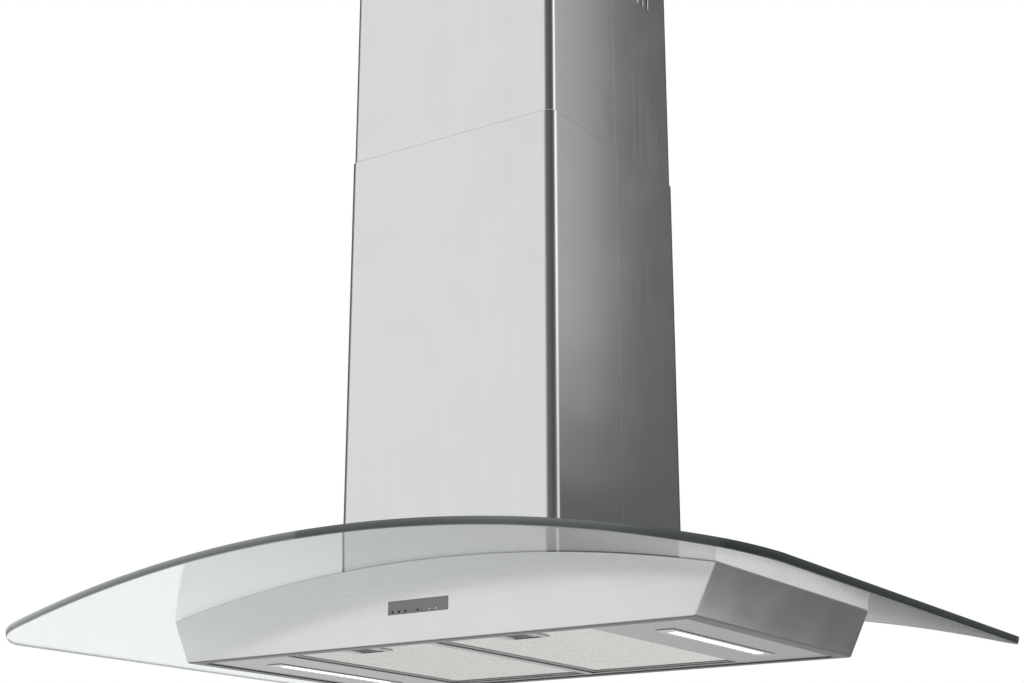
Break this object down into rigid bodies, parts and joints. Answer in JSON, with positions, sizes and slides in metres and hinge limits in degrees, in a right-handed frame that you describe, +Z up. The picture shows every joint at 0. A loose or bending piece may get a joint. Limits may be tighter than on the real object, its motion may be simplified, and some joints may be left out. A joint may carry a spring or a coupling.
{
  "type": "curved glass range hood",
  "caption": "Ceiling-hung range hood: arched clear glass over a shallow steel body, telescopic chimney, mesh filters, light strips, small key panel",
  "frame": {"origin": "middle of the ceiling face of the ceiling plate", "axes": "+Z up, -Y the front with the keys, +X the right-hand side and the width of the glass"},
  "size_m": [0.9, 0.65, 0.85],
  "materials": {
    "brushed_steel": "fine vertical brushing, satin",
    "galvanised_steel": "zinc plated sheet, dull",
    "plated_fastener": "bright zinc",
    "clear_glass": "polished clear tempered glass, grey-green edges",
    "black_gasket": "matt black foam rubber",
    "panel_steel": "fine satin",
    "filter_mesh": "expanded aluminium mesh, satin",
    "lamp_lens": "opal white diffuser",
    "grey_fascia": "smooth mid grey",
    "dark_key": "matt black",
    "pale_key": "matt white",
    "circuit_board": "green solder mask",
    "motor_paint": "black stove enamel",
    "black_plastic": "moulded, fine texture",
    "white_plastic": "moulded, off white"
  },
  "bodies": {
    "ceiling_mount": {"ceiling_plate": "galvanised_steel", "upper_cover_front": "brushed_steel", "upper_cover_rear": "brushed_steel", "upper_angle_front_left": "galvanised_steel", "upper_angle_front_right": "galvanised_steel", "upper_angle_rear_left": "galvanised_steel", "upper_angle_rear_right": "galvanised_steel", "cover_screw_front_left": "plated_fastener", "cover_screw_front_right": "plated_fastener", "cover_screw_rear_left": "plated_fastener", "cover_screw_rear_right": "plated_fastener"},
    "canopy": {"canopy_shell": "brushed_steel", "lower_cover_front": "brushed_steel", "lower_cover_rear": "brushed_steel", "lamp_housing_left": "brushed_steel", "lamp_housing_right": "brushed_steel", "top_plate": "galvanised_steel", "deck_plate": "galvanised_steel", "motor_box": "galvanised_steel", "lower_angle_front_left": "galvanised_steel", "lower_angle_front_right": "galvanised_steel", "lower_angle_rear_left": "galvanised_steel", "lower_angle_rear_right": "galvanised_steel", "frame_bolt_front_left": "plated_fastener", "frame_bolt_front_right": "plated_fastener", "frame_bolt_rear_left": "plated_fastener", "frame_bolt_rear_right": "plated_fastener", "glass_screw_front_left": "plated_fastener", "glass_screw_front_right": "plated_fastener", "glass_screw_rear_left": "plated_fastener", "glass_screw_rear_right": "plated_fastener", "glass_canopy": "clear_glass", "glass_gasket": "black_gasket", "underside_panel": "panel_steel", "lamp_lens_left": "lamp_lens", "lamp_lens_right": "lamp_lens", "control_fascia": "grey_fascia", "control_board": "circuit_board", "motor": "motor_paint", "duct_collar": "black_plastic", "terminal_box": "black_plastic", "cable_gland": "black_plastic", "blower_scroll": "white_plastic", "led_driver": "white_plastic"},
    "blower_wheel": {"impeller": "galvanised_steel"},
    "damper_front": {"damper_flap_front": "black_plastic"},
    "damper_rear": {"damper_flap_rear": "black_plastic"},
    "filter_left": {"filter_frame_left": "panel_steel", "filter_mesh_left": "filter_mesh"},
    "filter_right": {"filter_frame_right": "panel_steel", "filter_mesh_right": "filter_mesh"},
    "latch_left": {"filter_latch_left": "plated_fastener"},
    "latch_right": {"filter_latch_right": "plated_fastener"},
    "key_1": {"control_key_1": "dark_key"},
    "key_2": {"control_key_2": "dark_key"},
    "key_3": {"control_key_3": "dark_key"},
    "key_4": {"control_key_4": "dark_key"},
    "key_5": {"control_key_5": "pale_key"},
    "key_6": {"control_key_6": "pale_key"}
  },
  "joints": [
    {"name": "canopy_height", "type": "slide", "parent": "ceiling_mount", "child": "canopy", "axis": [0, 0, 1], "range_m": [-0.08, 0.16]},
    {"name": "impeller_spin", "type": "hinge", "parent": "canopy", "child": "blower_wheel", "pos_m": [0, 0, -0.6839], "axis": [1, 0, 0], "continuous": true},
    {"name": "damper_front_swing", "type": "hinge", "parent": "canopy", "child": "damper_front", "pos_m": [0, 0, -0.5496], "axis": [-1, 0, 0], "range_deg": [0, 75]},
    {"name": "damper_rear_swing", "type": "hinge", "parent": "canopy", "child": "damper_rear", "pos_m": [0, 0, -0.5496], "axis": [1, 0, 0], "range_deg": [0, 75]},
    {"name": "filter_left_swing", "type": "hinge", "parent": "canopy", "child": "filter_left", "pos_m": [-0.0957, 0.153, -0.8474], "axis": [1, 0, 0], "range_deg": [0, 75]},
    {"name": "latch_left_slide", "type": "slide", "parent": "filter_left", "child": "latch_left", "axis": [0, 1, 0], "range_m": [0, 0.007], "stiffness_N_per_m": 300},
    {"name": "filter_right_swing", "type": "hinge", "parent": "canopy", "child": "filter_right", "pos_m": [0.0957, 0.153, -0.8474], "axis": [1, 0, 0], "range_deg": [0, 75]},
    {"name": "latch_right_slide", "type": "slide", "parent": "filter_right", "child": "latch_right", "axis": [0, 1, 0], "range_m": [0, 0.007], "stiffness_N_per_m": 300},
    {"name": "key_1_press", "type": "slide", "parent": "canopy", "child": "key_1", "axis": [0, 1, 0], "range_m": [0, 0.0005], "stiffness_N_per_m": 400},
    {"name": "key_2_press", "type": "slide", "parent": "canopy", "child": "key_2", "axis": [0, 1, 0], "range_m": [0, 0.0005], "stiffness_N_per_m": 400},
    {"name": "key_3_press", "type": "slide", "parent": "canopy", "child": "key_3", "axis": [0, 1, 0], "range_m": [0, 0.0005], "stiffness_N_per_m": 400},
    {"name": "key_4_press", "type": "slide", "parent": "canopy", "child": "key_4", "axis": [0, 1, 0], "range_m": [0, 0.0005], "stiffness_N_per_m": 400},
    {"name": "key_5_press", "type": "slide", "parent": "canopy", "child": "key_5", "axis": [0, 1, 0], "range_m": [0, 0.0005], "stiffness_N_per_m": 400},
    {"name": "key_6_press", "type": "slide", "parent": "canopy", "child": "key_6", "axis": [0, 1, 0], "range_m": [0, 0.0005], "stiffness_N_per_m": 400}
  ]
}
